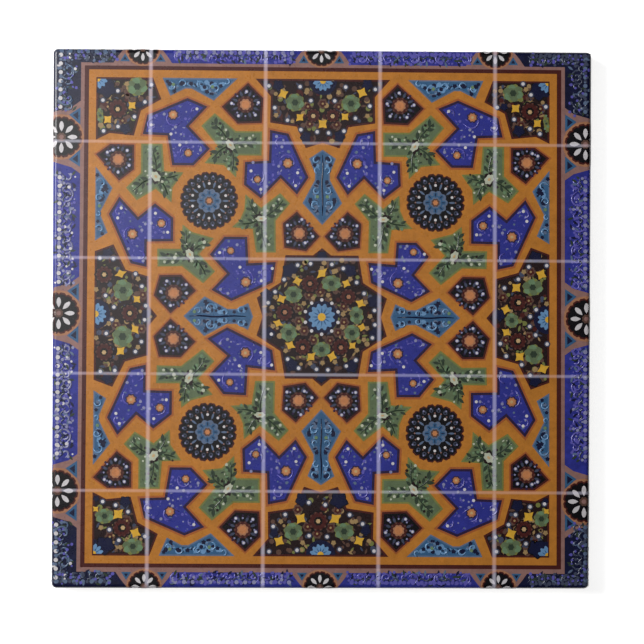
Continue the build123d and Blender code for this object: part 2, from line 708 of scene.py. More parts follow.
def panels():
    for outline in COBALT_PANELS:
        panel(outline, "purple", "cobalt", 0.5, halo=0.4)
    for ways, outline in COBALT_INNER:
        panel(outline, "purple", "cobalt", 0.5, ways, halo=0.4)
    for outline in KITES:
        panel(outline, "maroon", "black", 0.4, halo=0.3)
    for outline in GREEN_PANELS:
        panel(outline, "moss", "green", 0.35)
    panel(CORNER_PANEL, "maroon", "umber", 0.4)
    panel(across_v(across_u(MEDALLION_QUARTER)), "maroon", "umber", 0.4, ONCE)
    panel(across_u(TOP_HALF), "maroon", "umber", 0.4, TOP_BOTTOM)
    panel(across_v(SIDE_HALF), "maroon", "umber", 0.4, LEFT_RIGHT)
    panel(TURQUOISE_SIDE, "steel", "turquoise", 0.3)
    panel(TURQUOISE_TOP, "steel", "turquoise", 0.3)
    panel(across_u(TURQUOISE_UPRIGHT), "steel", "turquoise", 0.3, TOP_BOTTOM)
    panel(across_v(TURQUOISE_LEVEL), "steel", "turquoise", 0.3, LEFT_RIGHT)


# Flowers, as rings of a die: the glaze, the level, the die and its radius, then, where they aren't the
# usual ones, how many of it, its distance from the middle, its turn in degrees and its stretch. Lengths are
# for a flower of size 1.


STAR_PLACE = (22.8, 23.2)  # the middle of the star rosette of each quarter
STAR_ROSETTE = (
    ("maroon", EDGE, "twenty", 5.85),
    ("black", PANEL, "twenty", 5.55),
    ("slate", SCROLL, "dot", 0.44, 20, 4.65, 9),
    ("black", LEAF, "dot", 0.18, 20, 4.55, 9),
    ("lilac", LEAF, "dot", 0.17, 20, 5.0, 9),
    ("steel", SCROLL, "leaf", 0.62, 10, 3.35, 0, 0.8),
    ("mauve", SCROLL, "dot", 0.16, 20, 4.05),
    ("white", DOT, "dot", 0.29, 10, 3.5, 18),
    ("steel", LEAF, "ten", 2.5),
    ("turquoise", FLOWER, "eight", 2.1, 1, 0, 22.5),
    ("steel", DOT, "dot", 0.32, 8, 1.75, 22.5),
    ("navy", DOT, "leaf", 0.36, 8, 1.6, 0, 0.7),
    ("steel", DOT, "eight", 1.2),
    ("brown", HEART, "eight", 0.9),
    ("salmon", PIP, "six", 0.55),
)
KITE_FLOWER = (
    ("slate", SCROLL, "leaf", 0.5, 8, 2.25, 22.5, 1.3),
    ("purple", SCROLL, "dot", 0.25, 16, 2.85),
    ("lilac", FLOWER, "dot", 0.2, 8, 2.35, 45),
    ("maroon", LEAF, "ten", 1.8),
    ("brown", FLOWER, "dot", 0.16, 10, 1.55),
    ("tan", DOT, "eight", 1.22),
    ("salmon", HEART, "round", 0.8),
)
BORDER_ROSETTE = (
    ("tan", BORDER, "round", 1.15),
    ("maroon", FRAME, "sixteen", 1.04),
    ("black", STRAP, "sixteen", 0.95),
    ("white", EDGE, "petal", 0.26, 8, 0.54, 0, 1.25),
    ("brown", PANEL, "eight", 0.24),
    ("mauve", SCROLL, "dot", 0.12),
)
COBALT_FLOWER = (
    ("purple", LEAF, "eight", 1.3),
    ("tan", FLOWER, "eight", 1.0),
    ("salmon", DOT, "round", 0.72),
    ("sand", HEART, "dot", 0.35),
)
DARK_FLOWER = (
    ("black", LEAF, "ten", 1.08),
    ("maroon", FLOWER, "round", 0.21, 10, 0.72),
    ("maroon", FLOWER, "round", 0.62),
    ("brown", DOT, "dot", 0.08, 10, 0.84),
    ("black", DOT, "eight", 0.44),
)
BROWN_FLOWER = (
    ("brown", SCROLL, "six", 1.1),
    ("maroon", LEAF, "five", 0.75),
    ("bud", FLOWER, "dot", 0.24),
)
WHITE_BUD = (("slate", FLOWER, "dot", 0.62), ("white", DOT, "dot", 0.36))
KITE_BUD = (("lilac", DOT, "dot", 0.36), ("white", HEART, "dot", 0.22))


def flower(rings, u, v, size=1.0, ways=QUARTERS):
    """Presses the rings of a flower about (u, v)."""
    for glaze, *ring_values in rings:
        flower_ring(ink[glaze], u, v, size, ways, *ring_values)


def flower_ring(film, u, v, size, ways, level, die, radius, count=1, reach=0, turn=0, stretch=1):
    """One ring of a flower: a single shape over its middle, or several round a circle."""
    if count == 1:
        film.press(level, die, u, v, radius * size, turn, stretch, ways)
    else:
        film.circle_of(level, die, u, v, count, reach * size, radius * size, turn, stretch, ways)


# Border: white rosettes on the straps, and a vine in each cartouche between them


SIDE_ROSETTES = ((-52.7, 35.8), (-52.9, 0.4), (-52.8, -35.1), (53.0, 35.3), (53.2, 0.0), (52.7, -36.7))
END_ROSETTES = ((-36.4, 53.8), (-0.3, 53.8), (34.8, 53.8), (-35.3, -54.1), (-0.1, -54.1), (35.6, -54.0))

# The strap and the triangle beside a rosette: distances from the middle of the tile and along the border
SIDE_STRAP = ((48.8, 7.4), (50.6, 6.1), (54.4, 5.0), (54.4, 0), (48.8, 0))
SIDE_TRIANGLE = ((48.9, 2.5), (48.9, 6.0), (51.2, 4.5))
END_STRAP = ((50.8, 6.0), (52.4, 4.9), (54.4, 3.3), (54.4, 0), (50.8, 0))
END_TRIANGLE = ((51.2, 2.6), (51.2, 4.6), (52.8, 3.6))
ROSETTE_ROWS = (
    # whether they stand at the sides, their places and radius, then what lies beside each, and its rim
    (True, SIDE_ROSETTES, 4.0, SIDE_STRAP, SIDE_TRIANGLE, 0.45),
    (False, END_ROSETTES, 3.1, END_STRAP, END_TRIANGLE, 0.32),
)

CARTOUCHES = (
    # whether it runs up a side, its ends, its middle line and the sway of its vine, then the colours of
    # the buds and the curls on the left, and of those on the right. The paler colours on the left are a
    # painted sheen: they stand in for the light that falls on that side
    (True, 5.8, 29.4, 52.0, 1.3, ("white", "lilac"), ("lilac", "violet")),
    (True, 41.0, 53.2, 52.0, 1.3, ("white", "steel"), ("steel", "slate")),
    (False, 5.4, 29.8, 52.5, 0.85, ("lilac", "violet"), ("violet", "violet")),
    (False, 41.4, 53.4, 52.5, 0.85, ("steel", "slate"), ("slate", "slate")),
)
VINE_PITCH = 1.75
VINE_WIDTH, CURL_WIDTH = 0.3, 0.38
WIDE_EVERY = 3  # every third curl has a wide one round it
CURL_SWEEP = 260
BUD_RADIUS, TIP_RADIUS = 0.42, 0.34
DUST, SHREDS = 6, 4  # small dots and small leaves to each pitch of a vine
DUST_SIZES, SHRED_SIZE = (0.18, 0.34), 0.55
SPREAD = (-1.7, 1.35)  # how far off the middle line they lie, in sways


def border():
    """The rosettes with the straps and triangles beside them, and the vines in between."""
    for at_side, rosettes, radius, strap, triangle, rim in ROSETTE_ROWS:
        for u, v in rosettes:
            flower(BORDER_ROSETTE, u, v, radius, ONCE)
            for way in (1, -1):
                corner = beside(triangle, at_side, u, v, way)
                ink["mauve"].outline(GROUND, beside(strap, at_side, u, v, way), ONCE)
                ink["turquoise"].outline(FRAME, corner, ONCE)
                ink["navy"].outline(STRAP, inset(corner, rim), ONCE)
    chance = random.Random(7)
    for upright, low_end, high_end, middle, sway, left, right in CARTOUCHES:
        for ways, (bud, curl) in ((LEFT, left), (RIGHT, right)):
            vine(chance, upright, low_end, high_end, middle, sway, bud, curl, ways)


def beside(outline, at_side, u, v, way):
    """An outline beside the rosette at (u, v), to the one way or the other along the border."""
    if at_side:
        return [(math.copysign(out, u), v + way * along) for out, along in outline]
    return [(u + way * along, math.copysign(out, v)) for out, along in outline]


def vine(chance, upright, low_end, high_end, middle, sway, bud, curl, ways):
    """A wavy stem along a cartouche, with a curl and a bud in each of its bends, among dots and leaves."""

    def at(along, off):
        across = middle + off * sway
        return (across, along) if upright else (along, across)

    def near(along):
        return at(along + chance.uniform(-0.5, 0.5) * VINE_PITCH, chance.uniform(*SPREAD))

    count = round((high_end - low_end) / VINE_PITCH)
    stem = [at(low_end + k * VINE_PITCH / 2, 0.6 * (-1) ** k) for k in range(2 * count + 1)]
    ink["slate"].stroke(FRAME, stem, VINE_WIDTH, ways)
    for k in range(count):
        along = low_end + (k + 0.5) * VINE_PITCH
        radius = 0.35 * (1 + sway)
        sweep = CURL_SWEEP * (-1) ** k
        ink[curl].scroll(FRAME, *at(along, -0.55), radius, chance.uniform(0, 360), sweep, CURL_WIDTH, ways)
        if k % WIDE_EVERY == 1:
            ink[curl].scroll(FRAME, *at(along, -0.2), 1.3 * sway, 90, sweep, CURL_WIDTH, ways, close=0.8)
        ink[bud].press(STRAP, "round", *at(along, 0.75), BUD_RADIUS, ways=ways)
        ink[curl].press(STRAP, "dot", *at(along + VINE_PITCH / 2, 0.75), TIP_RADIUS, ways=ways)
        for _ in range(DUST):
            glaze = chance.choice((curl, curl, "violet", "violet", bud))
            ink[glaze].press(STRAP, "dot", *near(along), chance.uniform(*DUST_SIZES), ways=ways)
        for _ in range(SHREDS):
            glaze = chance.choice(("navy", "navy", "deep_green", "steel"))
            ink[glaze].press(FRAME, "leaf", *near(along), SHRED_SIZE, chance.uniform(0, 180), ways=ways)


# Cobalt panels: round flowers on scrolls


COBALT_FLOWERS = (
    # u, v, radius, then how much higher it lies than its mirrored place
    (15.3, 7.1, 0.95, -0.2),
    (18.4, 13.2, 0.70, 0),
    (7.0, 30.9, 0.95, 0),
    (13.1, 27.6, 0.70, 0),
    (38.2, 16.6, 0.95, -0.2),
    (32.4, 18.5, 0.80, 0.1),
    (30.2, 39.8, 0.90, 0.7),
    (27.1, 32.7, 0.75, 0.1),
)
COBALT_SPECKS = (
    (16.5, 9.9), (20.4, 5.4), (10.0, 9.7), (17.1, 14.4), (20.6, 12.8), (8.8, 30.3), (5.4, 26.4),
    (9.3, 36.3), (14.4, 29.3), (36.3, 17.2), (40.5, 21.6), (34.4, 18.6), (31.1, 16.8), (36.0, 11.0),
    (25.4, 41.7), (29.7, 38.0), (28.8, 34.4), (27.5, 34.9), (34.6, 38.4), (32.0, 40.6), (12.2, 7.2),
    (18.9, 4.6), (5.0, 29.0), (8.2, 34.2), (41.2, 19.6), (39.0, 13.4), (33.6, 20.6), (24.6, 33.4),
    (30.6, 36.6), (12.6, 8.9), (12.4, 25.6), (14.0, 31.0),
)
COBALT_SCROLLS = (
    # middle of a spiral, its radius, start and sweep in degrees
    (15.4, 7.3, 2.1, 100, 250),
    (18.5, 12.9, 1.7, -60, 260),
    (11.4, 8.6, 1.3, 180, -280),
    (19.6, 5.4, 1.1, 200, 260),
    (6.9, 31.0, 2.0, 20, 260),
    (13.2, 27.9, 1.7, 130, 270),
    (8.3, 35.2, 1.3, -60, 280),
    (5.0, 27.1, 1.0, 60, -260),
    (38.2, 16.5, 2.1, -70, 260),
    (32.4, 18.4, 1.6, 60, 260),
    (40.8, 20.8, 1.2, 170, -280),
    (36.6, 12.0, 1.1, 80, 280),
    (30.2, 39.9, 2.0, 200, 260),
    (27.3, 33.0, 1.6, -30, 270),
    (34.4, 38.4, 1.2, 100, -280),
    (25.7, 41.3, 1.0, -40, 260),
)

COBALT_LEAVES = ("violet", "violet", "violet", "lilac", "steel")
COBALT_STREWN = (150, (0.14, 0.32))  # how many to a panel, and between which sizes
COBALT_LINE, SPECK_RADIUS = 0.32, 0.32


def cobalt_motifs():
    for k, outline in enumerate(COBALT_PANELS):
        strew(outline, COBALT_LEAVES, *COBALT_STREWN, seed=k)
    for k, (ways, outline) in enumerate(COBALT_INNER):
        strew(outline, COBALT_LEAVES, *COBALT_STREWN, 10 + k, ways)
    for u, v, radius, start, sweep in COBALT_SCROLLS:
        ink["violet"].scroll(SCROLL, u, v, radius, start, sweep, COBALT_LINE)
    for u, v, radius, lift in COBALT_FLOWERS:
        flower(COBALT_FLOWER, u, v + lift, radius, TOP)
        flower(COBALT_FLOWER, u, v - lift, radius, BOTTOM)
    for k, (u, v) in enumerate(COBALT_SPECKS):
        ink["lilac" if k % 2 else "white"].press(DOT, "dot", u, v, SPECK_RADIUS)


# Kites: a scalloped flower in a wreath of buds


KITE_FLOWERS = ((4.6, 16.8), (29.8, 4.6), (15.6, 42.7), (41.2, 31.4))
KITE_BUDS = (
    (4.1, 19.6), (7.0, 18.4), (3.4, 14.9), (6.9, 15.1), (1.9, 16.2),
    (27.3, 6.3), (31.2, 7.0), (32.4, 4.9), (30.4, 2.1), (27.2, 4.6),
    (15.4, 45.3), (13.0, 43.1), (18.4, 42.9), (13.6, 40.6), (17.0, 40.4),
    (39.4, 33.2), (43.4, 32.8), (39.0, 30.2), (41.2, 28.8), (42.3, 33.3),
)


def kites():
    for u, v in KITE_FLOWERS:
        flower(KITE_FLOWER, u, v)
    for u, v in KITE_BUDS:
        flower(KITE_BUD, u, v)


# Green panels: sprigs with dark leaves that grow from a pale blossom


GREEN_SPRAYS = (
    # the blossom's u, v, radius, turn and stretch, then the tips of its sprigs
    ((12.3, 19.7, 0.62, 0, 1.9), ((11.3, 13.9), (7.9, 23.4), (14.8, 23.3), (16.8, 18.6))),
    ((26.6, 12.4, 1.25, -30, 0.62), ((23.0, 15.0), (23.3, 8.2), (32.3, 11.7), (27.4, 17.2))),
    ((18.6, 34.5, 1.3, -40, 0.55), ((13.2, 34.9), (22.4, 39.2), (22.3, 31.6), (18.2, 29.2))),
    ((33.6, 28.0, 0.9, 50, 1.4), ((34.5, 33.8), (38.2, 25.0), (31.1, 24.3), (29.2, 28.3))),
)
GREEN_LEAVES = ("leaf_green", "leaf_green", "deep_green", "cream")
GREEN_STREWN = (110, (0.16, 0.4))
LEAF_PITCH = 0.85  # along a sprig


def green_motifs():
    chance = random.Random(5)
    for k, outline in enumerate(GREEN_PANELS):
        strew(outline, GREEN_LEAVES, *GREEN_STREWN, seed=20 + k)
    for (u, v, size, turn, stretch), tips in GREEN_SPRAYS:
        for tip in tips:
            sprig(chance, Vector((u, v)), Vector(tip))
        ink["umber"].press(LEAF, "five", u, v, size * 1.35, turn + 36, stretch)
        ink["cream"].press(FLOWER, "six", u, v, size, turn, stretch)
        ink["sand"].press(HEART, "dot", u, v, size * 0.3, turn, stretch)


def sprig(chance, root, tip):
    """A bowed stem from a blossom to the end of an arm of its panel, with leaves and buds to both sides."""
    along = tip - root
    aside = Vector((-along.y, along.x)).normalized()
    bow = chance.choice((-0.4, 0.4))

    def at(share, off=0.0):
        return root + along * share + aside * (bow * math.sin(math.pi * share) + off)

    ink["deep_green"].stroke(SCROLL, [at(share) for share in (0, 0.25, 0.5, 0.75, 1)], 0.3)
    heading = math.degrees(math.atan2(along.y, along.x)) - 90
    count = round(along.length / LEAF_PITCH)
    for k in range(1, count):
        share = (k + 0.4) / count
        side = (-1) ** k
        leaf = at(share, 0.6 * side)
        ink["deep_green"].press(SCROLL, "leaf", *leaf, chance.uniform(0.5, 0.8), heading + side * 40, 1.2)
        bud = chance.choice(("cream", "leaf_green", "umber"))
        ink[bud].press(LEAF, "five", *at(share, -0.8 * side), chance.uniform(0.2, 0.38))


# Turquoise panels: pale scrolls and dark spots, along a navy stem in those that face the middle


TURQUOISE_SCROLLS = (
    (1.3, 22.6, 1.0, -90, 280), (1.1, 25.3, 0.8, 90, -280), (0.9, 29.6, 0.8, -90, 280),
    (1.2, 31.6, 0.8, 90, -280), (22.4, 1.6, 1.1, 180, -280), (19.4, 0.8, 0.7, 0, 280),
    (16.2, 1.2, 0.9, 180, -280), (24.9, 1.1, 0.8, 0, 280), (44.6, 26.6, 1.1, 0, 280),
    (45.0, 23.6, 0.9, 180, -280), (44.8, 17.4, 0.9, 0, 280), (45.2, 20.4, 0.6, 90, 280),
    (21.8, 45.8, 1.2, 0, 280), (24.8, 46.6, 0.9, 180, -280), (28.2, 46.8, 0.9, 0, 280),
    (30.6, 46.2, 0.9, 90, 280), (19.4, 47.2, 0.7, 90, 280),
)
TURQUOISE_SPOTS = (
    (2.4, 23.6, 0.5), (0.9, 27.2, 0.45), (1.6, 30.6, 0.45), (23.4, 2.9, 0.5), (20.6, 1.6, 0.45),
    (17.6, 0.9, 0.4), (15.2, 1.6, 0.4), (44.2, 25.2, 0.5), (45.4, 28.2, 0.45), (45.2, 18.9, 0.4),
    (44.3, 16.4, 0.4), (23.4, 45.2, 0.5), (26.6, 46.8, 0.5), (20.6, 46.4, 0.45), (30.0, 45.2, 0.45),
    (31.4, 47.2, 0.4),
)
TURQUOISE_BUDS = ((22.3, 46.2), (30.2, 46.6), (1.0, 24.2), (25.6, 0.9), (44.9, 22.0))
UPRIGHT_STEM = ((0, 20.4), (0.2, 23.0), (-0.2, 27.0), (0.2, 30.0), (0, 32.6))
LEVEL_STEM = ((15.2, 0), (18.0, 0.2), (21.5, -0.2), (24.5, 0.2), (26.6, 0))
TURQUOISE_FIELDS = (
    # an outline, and the glazes of what is strewn in it
    (TURQUOISE_UPRIGHT, ("pale_blue", "navy", "navy", "steel")),
    (TURQUOISE_LEVEL, ("pale_blue", "navy", "navy", "steel")),
    (TURQUOISE_SIDE, ("pale_blue", "pale_blue", "navy", "navy", "steel")),
    (TURQUOISE_TOP, ("pale_blue", "pale_blue", "navy", "navy", "steel")),
)
TURQUOISE_STREWN = (240, (0.25, 0.55))
STEM_WIDTH, SCROLL_WIDTH, TURQUOISE_BUD = 0.32, 0.34, 0.36


def turquoise_motifs():
    for k, (outline, glazes) in enumerate(TURQUOISE_FIELDS):
        strew(outline, glazes, *TURQUOISE_STREWN, seed=40 + k)
    ink["navy"].stroke(SCROLL, UPRIGHT_STEM, STEM_WIDTH, TOP_BOTTOM)
    ink["navy"].stroke(SCROLL, LEVEL_STEM, STEM_WIDTH, LEFT_RIGHT)
    for u, v, radius, start, sweep in TURQUOISE_SCROLLS:
        ink["pale_blue"].scroll(LEAF, u, v, radius, start, sweep, SCROLL_WIDTH)
    for u, v, size in TURQUOISE_SPOTS:
        ink["navy"].press(LEAF, "five", u, v, size)
    for u, v in TURQUOISE_BUDS:
        ink["leaf_green"].press(DOT, "dot", u, v, TURQUOISE_BUD)


# Medallions: green cups and dark flowers round a pale flower. Nothing here is mirrored.


GREEN_CUPS = (
    # u, v, half width, half height
    (1.9, 6.8, 2.1, 1.7), (7.0, 0.4, 1.5, 1.9), (6.1, -3.1, 1.7, 1.7), (0.0, -6.5, 1.9, 1.6),
    (-6.6, -3.2, 1.8, 1.9), (-5.7, 4.5, 1.9, 1.8), (42.4, 6.3, 2.2, 1.8), (38.2, -0.4, 1.5, 1.6),
    (42.6, -7.2, 2.0, 2.1), (-40.0, 5.1, 2.1, 2.3), (-40.0, -4.2, 2.2, 2.3), (5.7, 43.1, 2.0, 1.9),
    (-5.6, 43.2, 2.0, 1.9), (4.7, -42.9, 2.1, 1.8), (-5.5, -43.0, 2.0, 1.9), (-37.5, 46.1, 2.2, 2.0),
    (38.4, 45.5, 2.2, 1.9), (-43.3, -40.1, 2.0, 1.6), (-37.6, -46.1, 2.2, 1.7), (44.2, -40.2, 1.6, 1.7),
    (38.1, -45.9, 2.2, 1.8), (-44.9, 40.2, 0.7, 1.6), (45.1, 39.4, 0.6, 1.9),
)
DARK_FLOWERS = (
    # u, v, radius
    (-2.4, 6.7, 1.9), (5.3, 4.1, 1.75), (3.8, -6.0, 1.8), (-3.8, -6.0, 1.8), (-7.5, 0.9, 1.9),
    (39.4, 3.2, 1.9), (39.4, -4.6, 1.9), (-43.8, 8.2, 1.9), (-38.6, 0.5, 1.85), (-43.7, -7.3, 1.95),
    (-1.9, 40.6, 1.5), (2.0, 40.6, 1.5), (-0.5, -40.9, 2.1), (-41.4, 41.6, 2.1), (41.8, 41.8, 2.0),
    (-39.8, -42.4, 2.0), (40.7, -42.3, 1.9),
)
DARK_FLOWER_HEARTS = (
    (-2.4, 6.7), (5.4, 4.1), (3.9, -6.1), (-3.8, -6.2), (-7.4, 0.9), (39.6, 3.2), (39.5, -4.5),
    (-43.8, 8.2), (-38.6, 0.5), (-43.7, -7.4), (-1.9, 40.5), (2.0, 40.5), (-0.5, -40.9), (-41.4, 41.5),
    (41.8, 41.7), (-39.6, -42.4), (40.7, -42.3),
)
YELLOW_PETALS = (
    # u, v, radius, stretch, turn
    (0.0, 8.8, 0.75, 1.6, 0), (4.9, 6.8, 0.75, 1.1, 20), (7.8, 2.8, 0.95, 0.8, 20),
    (8.1, -2.0, 0.8, 0.9, 30), (6.2, -5.7, 0.7, 1.1, 0), (2.1, -7.9, 0.85, 1.1, 30),
    (-2.1, -8.0, 0.75, 1.4, 0), (-6.3, -5.7, 0.95, 0.8, 20), (-8.8, -1.3, 0.9, 0.75, 25),
    (-8.1, 3.6, 0.8, 1.1, -20), (-4.9, 7.2, 0.85, 1.0, -30), (44.1, 8.9, 0.95, 1.0, 20),
    (39.1, 6.2, 0.9, 1.1, 0), (37.0, 1.8, 0.85, 1.0, 30), (37.1, -2.8, 0.9, 0.8, 10),
    (39.8, -7.7, 0.9, 1.1, 0), (44.5, -10.1, 0.85, 1.3, -20), (-40.5, 8.4, 0.7, 1.5, -25),
    (-37.2, 3.3, 0.8, 0.9, 0), (-37.5, -2.7, 1.0, 0.7, -10), (-40.4, -7.1, 0.8, 1.2, 0),
    (7.9, 45.3, 0.95, 1.0, 20), (-8.0, 44.9, 0.85, 1.1, -20), (4.5, 40.4, 0.8, 1.0, 0),
    (-4.6, 40.2, 0.75, 1.2, 0), (0.0, 38.9, 0.95, 1.0, 0), (-4.0, -40.4, 0.95, 1.1, 10),
    (2.9, -40.4, 0.9, 1.3, -10), (-8.3, -44.9, 0.95, 1.0, 15), (7.7, -44.8, 0.95, 1.0, -15),
    (-38.5, 42.3, 0.8, 1.0, 0), (38.9, 42.4, 0.85, 1.1, 0), (-43.4, 39.4, 0.8, 1.1, 0),
    (43.3, 39.4, 0.8, 1.1, 0), (-37.1, -43.4, 1.0, 0.9, 20), (38.1, -43.2, 1.05, 0.9, -20),
    (-40.6, -39.7, 0.95, 1.2, 0), (41.6, -39.8, 0.95, 1.15, 0), (-45.1, -38.7, 0.6, 0.9, 0),
    (45.2, -38.7, 0.65, 0.8, 0),
)
TAN_BUDS = (
    (0, 9.8), (2.8, 9.3), (5.7, 7.7), (8.8, 3.0), (9.7, 0.2), (9.1, -2.2), (8.5, -4.5), (7.1, -6.6),
    (2.7, -9.0), (0.2, -9.2), (-2.3, -9.3), (-7.2, -6.8), (-9.8, -1.9), (-9.3, 3.9), (-5.6, 8.2),
    (1.3, 4.4), (4.3, 0.6), (4.2, -2.0), (-3.6, 2.7), (-4.7, -2.2), (45.2, 3.0), (40.6, 9.4),
    (41.0, 8.0), (-45.4, 5.2), (-42.8, 2.8), (-37.0, 7.4), (-36.9, -6.3), (-45.3, -4.5), (9.0, 40.6),
    (-9.4, 40.6), (-3.3, 45.3), (3.2, 45.3), (2.6, -45.2), (-3.6, -45.2), (7.0, -40.9), (-8.0, -41.0),
    (41.0, -46.9), (-40.1, -46.3), (45.0, -43.0), (-44.0, -42.4), (-39.6, 46.6), (41.0, 46.3),
    (-42.8, -1.6),
)
WHITE_BUDS = (
    (2.0, 10.6), (4.3, 9.8), (7.0, 7.0), (8.5, 4.8), (10.6, 1.4), (10.7, -1.5), (10.2, -4.1), (6.9, -8.6),
    (5.0, -9.8), (1.3, -10.6), (-1.0, -10.5), (-4.6, -10.3), (-6.8, -8.5), (-10.1, -3.5), (-10.8, 2.8),
    (-9.4, 5.0), (-7.6, 7.5), (-4.9, 10.4), (-2.3, 10.7), (41.6, 10.4), (45.2, 10.7), (39.5, 7.9),
    (36.7, 6.1), (43.1, 1.8), (41.9, 0.4), (41.8, -1.6), (43.0, -3.3), (45.3, -5.1), (35.9, -5.1),
    (37.1, -7.6), (40.2, -9.3), (41.9, -11.4), (-44.7, 11.5), (-42.0, 11.4), (-37.5, 8.4), (-36.2, 5.9),
    (-43.5, 4.0), (-41.8, 1.7), (-35.4, 2.0), (-42.2, -0.8), (-35.6, -0.8), (-43.3, -3.6),
    (-36.2, -5.2), (-37.4, -7.2), (-41.5, -11.0), (-44.4, -11.2), (-4.6, 46.4), (4.6, 46.4),
    (-10.9, 46.5), (10.6, 46.0), (-2.4, 43.6), (2.4, 43.6), (-9.7, 42.1), (9.5, 42.6), (-7.1, 39.6),
    (6.6, 40.1), (-4.4, 37.7), (4.3, 37.5), (-1.1, 37.3), (1.2, 37.1), (-2.4, -37.2), (0.9, -37.6),
    (-7.1, -39.6), (5.8, -39.6), (8.4, -41.4), (-9.5, -42.0), (-2.3, -43.8), (1.3, -44.0),
    (-4.7, -46.7), (3.8, -46.5), (-10.3, -47.0), (10.7, -46.8), (-41.4, 45.2), (-44.4, 43.3),
    (-38.0, 40.0), (-41.3, 38.0), (-44.2, 37.1), (-35.9, 43.0), (-34.6, 46.5), (42.0, 45.2),
    (45.0, 42.8), (38.6, 40.2), (41.8, 38.3), (43.8, 37.3), (35.2, 42.6), (40.4, 47.4), (-40.4, -44.9),
    (-43.7, -37.2), (-38.6, -39.2), (-35.2, -44.1), (-41.1, -37.9), (-42.3, -42.8), (43.6, -43.7),
    (41.1, -45.2), (44.8, -37.2), (41.9, -37.8), (39.0, -39.4), (37.6, -41.4), (35.0, -43.9), (35.2, -46.8),
)
NAVY_PATCHES = (
    # u, v, radius, stretch, turn
    (5.6, 9.4, 1.7, 0.9, 60), (-6.4, 9.3, 1.9, 0.9, -50), (10.6, 3.2, 1.5, 1.1, 30),
    (10.9, -3.4, 1.6, 1.1, -30), (-11.0, 4.3, 1.4, 1.1, -30), (-10.7, -3.3, 1.5, 1.1, 20),
    (6.0, -9.9, 1.6, 0.9, 30), (-6.0, -9.7, 1.6, 0.9, -30), (0, 12.3, 1.1, 1.1, 0),
    (0, -12.2, 1.1, 1.1, 0), (43.0, 12.4, 1.6, 0.8, 60), (42.9, -12.6, 1.5, 0.8, -60),
    (-43.2, 12.5, 1.4, 0.8, -60), (-43.0, -12.7, 1.4, 0.8, 60), (35.8, 0.6, 1.5, 0.8, 0),
    (-35.4, 0.3, 1.2, 0.8, 0), (9.0, 46.9, 1.3, 1.0, 0), (-9.0, 46.6, 1.3, 1.0, 0),
    (3.4, 36.4, 1.5, 0.8, 20), (-3.4, 36.2, 1.5, 0.8, -20), (3.6, -36.8, 1.9, 1.1, 0),
    (-3.8, -36.6, 1.6, 0.9, 0), (9.0, -42.6, 1.5, 0.8, 0), (-9.3, -43.2, 1.2, 0.8, 0),
    (43.6, 45.9, 2.1, 1.1, 0), (-43.6, 45.6, 2.1, 1.1, 0), (43.4, -46.2, 2.1, 1.1, 0),
    (-43.2, -45.9, 2.1, 1.1, 0), (36.6, 42.7, 0.9, 1.0, 0), (-37.0, 42.4, 0.8, 1.0, 0),
    (39.6, 37.9, 1.4, 1.0, 0), (-39.8, 37.6, 1.3, 1.0, 0), (39.4, -37.6, 1.4, 1.0, 0),
    (-39.2, -37.2, 1.3, 1.0, 0), (45.0, -36.6, 0.7, 1.0, 0), (-45.0, -36.6, 0.7, 1.0, 0),
)
BROWN_ROUNDS = (
    (4.5, -1.0), (3.3, -3.1), (-4.7, 1.7), (-2.6, 4.4), (-4.6, -0.9), (-3.5, -2.8), (4.4, 2.2), (-0.3, 5.0),
    (-1.6, -4.6), (1.7, -4.7), (37.0, -4.4), (36.4, 4.2), (41.6, 3.6), (41.7, -3.6), (42.0, 9.4),
    (-41.4, -1.9), (-41.4, 3.4), (-36.2, -2.6), (-36.0, 4.2), (-3.0, 42.4), (3.2, 42.4), (0, 43.0),
    (-2.6, 38.9), (2.8, 38.8), (3.4, -38.7), (-4.6, -38.6), (-0.7, -43.4), (-2.6, -42.0), (2.0, -42.2),
    (-43.4, 42.0), (43.9, 42.4), (40.0, 39.0), (-40.4, 39.2), (-42.2, -44.2), (42.9, -44.9),
    (-38.8, -41.0), (38.8, -40.6),
)
PALE_FLOWERS = (
    # u, v, size, then where it starts and how far it sweeps round, in degrees
    (0, 0, 1.0, 0, 360),
    (45.5, -0.2, 0.78, 90, 180),
    (-45.5, 0.3, 0.82, -90, 180),
    (0, 47.6, 0.75, 180, 180),
    (0, -47.6, 0.8, 0, 180),
    (45.5, 47.6, 0.75, 180, 90),
    (-45.5, 47.6, 0.75, 270, 90),
    (45.5, -47.6, 0.75, 90, 90),
    (-45.5, -47.6, 0.75, 0, 90),
)
CRUMBS = ("brown", "brown", "brown", "bud", "slate", "maroon", "moss")
CRUMB_SIZES = (0.3, 0.6)
MIDDLE_REACH = 12  # how far the middle medallion reaches
NAVY_REACH = 3.3  # radius of the navy round under a pale flower
PETAL_ANGLE = 30  # degrees that one petal of a pale flower takes up
CUP_PETALS, CUP_TURN = 6, 40  # the petals of a green cup, and where the first one lies, in degrees
HEART_RADIUS, TAN_BUD_RADIUS = 0.48, 0.55


